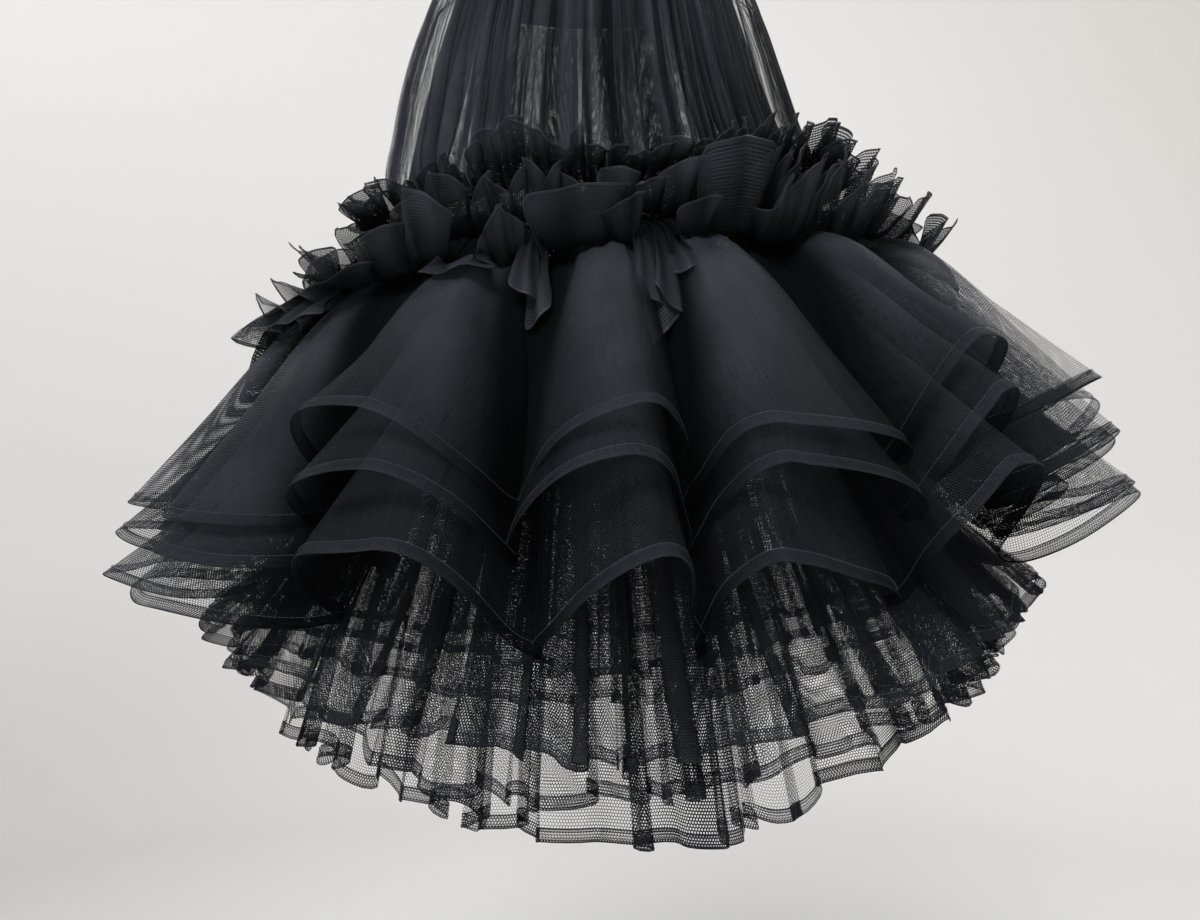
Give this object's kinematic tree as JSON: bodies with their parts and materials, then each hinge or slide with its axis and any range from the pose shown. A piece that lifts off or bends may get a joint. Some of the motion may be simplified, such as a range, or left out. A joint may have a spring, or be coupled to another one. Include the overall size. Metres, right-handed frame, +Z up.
{
  "type": "skirt",
  "caption": "Knee-length black tulle skirt, hung by its waist: sheer overlay on a gathered body, ruffled headings, tiered fluted net flounces and long soft layers below.",
  "frame": {"origin": "centre of the waistband's top edge, where the wearer's waist or a hanger's two clips hold it", "axes": "+Z up, -Y the side shown in the picture, +X the picture's right"},
  "size_m": [0.7937, 0.6738, 0.6527],
  "materials": {
    "waist_elastic": "matt black elastic, doubled",
    "sheer_tulle": "fine sheer black tulle, one layer",
    "black_tulle": "fine soft black tulle, gathered",
    "black_net": "stiff black hexagonal net with a blue-grey sheen"
  },
  "bodies": {
    "root": {"waistband": "waist_elastic", "overlay_tulle": "sheer_tulle", "body_tulle": "black_tulle", "heading_upper": "black_tulle", "heading_middle": "black_tulle", "heading_lower": "black_tulle", "flounce_outer": "black_net", "flounce_middle": "black_net", "flounce_inner": "black_net", "long_layer_outer": "black_tulle", "long_layer_middle": "black_tulle", "long_layer_inner": "black_tulle"}
  },
  "joints": []
}
